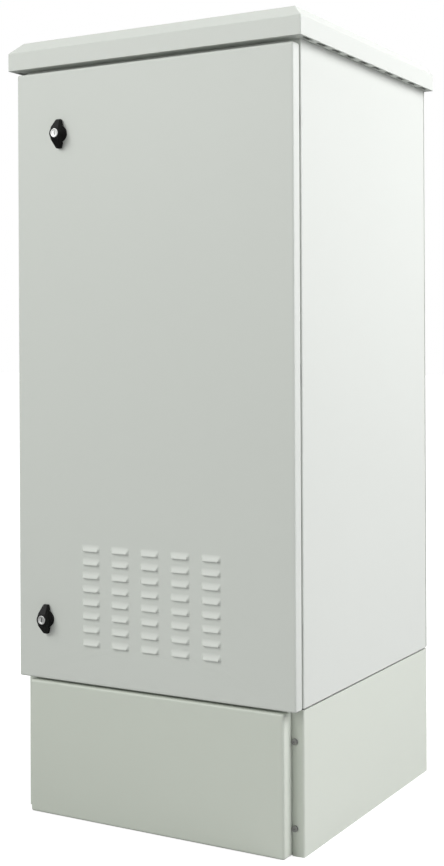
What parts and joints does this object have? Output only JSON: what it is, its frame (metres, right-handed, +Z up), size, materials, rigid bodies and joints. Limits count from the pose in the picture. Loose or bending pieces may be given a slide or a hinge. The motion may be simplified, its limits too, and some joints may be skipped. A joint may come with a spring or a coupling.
{
  "type": "roadside utility cabinet",
  "caption": "Free-standing outdoor sheet-steel cabinet on a plinth, with a louvred hinged door, wing-knob locks, a slotted rain hood and 19-inch rack rails inside.",
  "frame": {"origin": "centre of the anchor hole rectangle, on the floor under the plinth", "axes": "+X to the right as seen from the front, +Y to the rear, +Z up"},
  "size_m": [0.636, 0.647, 1.493],
  "materials": {
    "cabinet_paint": "light grey powder coat, satin",
    "zinc_steel": "zinc plated sheet, dull",
    "fastener_steel": "bright zinc plated",
    "seal_rubber": "matt foam rubber",
    "filter_fleece": "coarse fleece",
    "knob_black": "black satin coat on die cast zinc",
    "plug_chrome": "satin chrome"
  },
  "bodies": {
    "cabinet": {"plinth_front_cover": "cabinet_paint", "plinth_rear_cover": "cabinet_paint", "plinth_side_left": "cabinet_paint", "plinth_side_right": "cabinet_paint", "body_side_left": "cabinet_paint", "body_side_right": "cabinet_paint", "frame_head": "cabinet_paint", "frame_sill": "cabinet_paint", "body_rear_panel": "cabinet_paint", "body_base": "cabinet_paint", "roof_plate": "cabinet_paint", "hood": "cabinet_paint", "hood_pillars": "cabinet_paint", "plinth_base_frame": "zinc_steel", "plinth_top_frame": "zinc_steel", "plinth_post_front_left": "zinc_steel", "plinth_post_front_right": "zinc_steel", "plinth_post_rear_left": "zinc_steel", "plinth_post_rear_right": "zinc_steel", "gland_plate": "zinc_steel", "rack_rail_left": "zinc_steel", "rack_rail_right": "zinc_steel", "rail_supports_left": "zinc_steel", "rail_supports_right": "zinc_steel", "hinge_frame_leaf_1": "zinc_steel", "hinge_frame_leaf_2": "zinc_steel", "hinge_frame_leaf_3": "zinc_steel", "plinth_screws": "fastener_steel", "plinth_bolts": "fastener_steel", "gland_screws": "fastener_steel", "earth_terminal": "fastener_steel", "hood_nuts": "fastener_steel", "rail_screws": "fastener_steel", "plinth_seal": "seal_rubber"},
    "door": {"door_panel": "cabinet_paint", "door_gasket": "seal_rubber", "filter_guides": "cabinet_paint", "filter_holder": "zinc_steel", "filter_mat": "filter_fleece", "lock_nuts": "fastener_steel", "door_stiffener_left": "cabinet_paint", "door_stiffener_right": "cabinet_paint", "hinge_door_leaf_1": "zinc_steel", "hinge_door_leaf_2": "zinc_steel", "hinge_door_leaf_3": "zinc_steel", "hinge_pins": "fastener_steel", "upper_lock_housing": "knob_black", "lower_lock_housing": "knob_black"},
    "upper_latch": {"upper_knob": "knob_black", "upper_cam": "zinc_steel", "upper_cam_screw": "fastener_steel"},
    "upper_key": {"upper_key_plug": "plug_chrome"},
    "lower_latch": {"lower_knob": "knob_black", "lower_cam": "zinc_steel", "lower_cam_screw": "fastener_steel"},
    "lower_key": {"lower_key_plug": "plug_chrome"}
  },
  "joints": [
    {"name": "door_hinge", "type": "hinge", "parent": "cabinet", "child": "door", "pos_m": [0.29, -0.313, 0.8], "axis": [0, 0, 1], "range_deg": [0, 110]},
    {"name": "upper_knob_turn", "type": "hinge", "parent": "door", "child": "upper_latch", "pos_m": [-0.198, -0.325, 1.306], "axis": [0, 1, 0], "range_deg": [0, 90]},
    {"name": "upper_key_turn", "type": "hinge", "parent": "upper_latch", "child": "upper_key", "pos_m": [-0.198, -0.34, 1.306], "axis": [0, 1, 0], "range_deg": [0, 90]},
    {"name": "lower_knob_turn", "type": "hinge", "parent": "door", "child": "lower_latch", "pos_m": [-0.233, -0.325, 0.376], "axis": [0, 1, 0], "range_deg": [0, 90]},
    {"name": "lower_key_turn", "type": "hinge", "parent": "lower_latch", "child": "lower_key", "pos_m": [-0.233, -0.34, 0.376], "axis": [0, 1, 0], "range_deg": [0, 90]}
  ]
}
